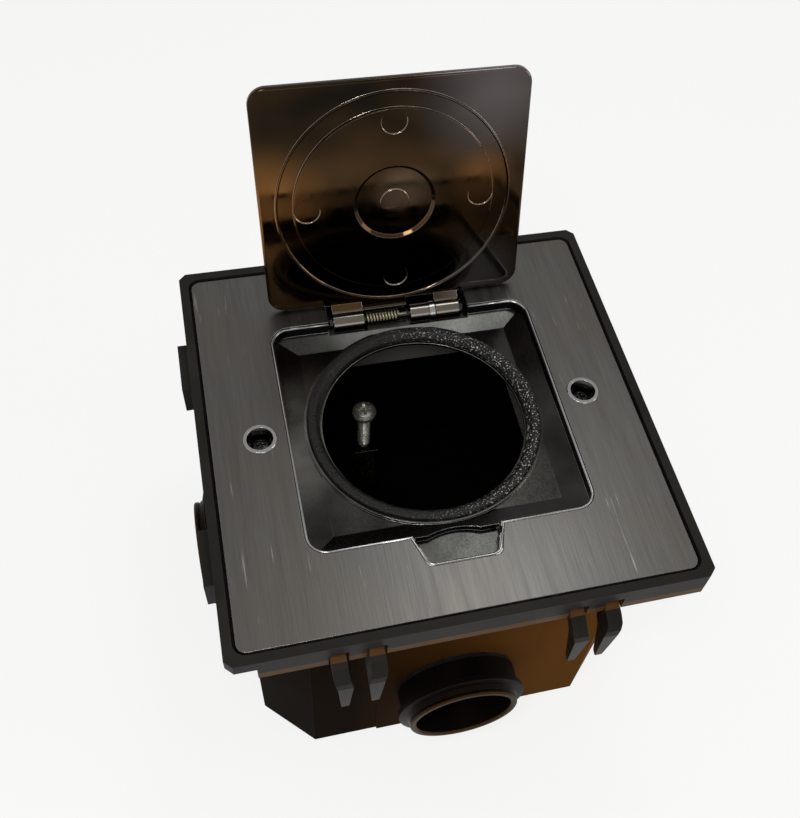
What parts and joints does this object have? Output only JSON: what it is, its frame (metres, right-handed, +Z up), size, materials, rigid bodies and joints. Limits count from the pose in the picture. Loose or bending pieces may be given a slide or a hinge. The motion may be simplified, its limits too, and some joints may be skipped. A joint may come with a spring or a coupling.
{
  "type": "floor socket box",
  "caption": "Square recessed floor box with a brushed cover plate, a sprung hinged lid that shuts on a round seal, and side spouts for conduit.",
  "frame": {"origin": "middle of the underside of the back box", "axes": "+Z up through the face plate, +X to the right, +Y towards the lid hinge; the finger notch is on the -Y side"},
  "size_m": [0.1371, 0.134, 0.1616],
  "materials": {
    "box_plastic": "semi-gloss black moulded",
    "collar_plastic": "satin black moulded",
    "seal_rubber": "fine grained black",
    "brushed_plate": "brushed front to back",
    "chrome_casting": "dark mirror plated",
    "chrome_trim": "bright plated",
    "zinc_steel": "bright zinc plated",
    "spring_steel": "drawn wire",
    "brass": "turned"
  },
  "bodies": {
    "box": {"back_box": "box_plastic", "mounting_collar": "collar_plastic", "plate_gasket": "seal_rubber", "face_plate": "brushed_plate", "collar_screws": "zinc_steel", "screw_cups": "chrome_trim", "plate_screws": "zinc_steel", "plate_inserts": "brass", "plate_studs": "zinc_steel", "stud_washers": "zinc_steel", "stud_nuts": "zinc_steel", "lid_frame": "chrome_casting", "ring_seal": "seal_rubber", "hinge_pin": "zinc_steel", "hinge_washer": "chrome_trim", "hinge_clip": "zinc_steel", "torsion_spring": "spring_steel", "earth_post": "brass", "earth_screw": "zinc_steel", "earth_washer": "zinc_steel", "conduit_adapter_front": "box_plastic", "adapter_washer_front": "seal_rubber", "lock_nut_front": "box_plastic", "conduit_adapter_left": "box_plastic", "adapter_washer_left": "seal_rubber", "lock_nut_left": "box_plastic"},
    "lid": {"lid": "chrome_casting", "lid_skin": "brushed_plate"}
  },
  "joints": [
    {"name": "lid_hinge", "type": "hinge", "parent": "box", "child": "lid", "pos_m": [0, 0.0405, 0.0879], "axis": [1, 0, 0], "range_deg": [0, 102], "stiffness_Nm_per_rad": 0.04, "springref_deg": -20.05, "deforming": ["torsion_spring"]}
  ]
}
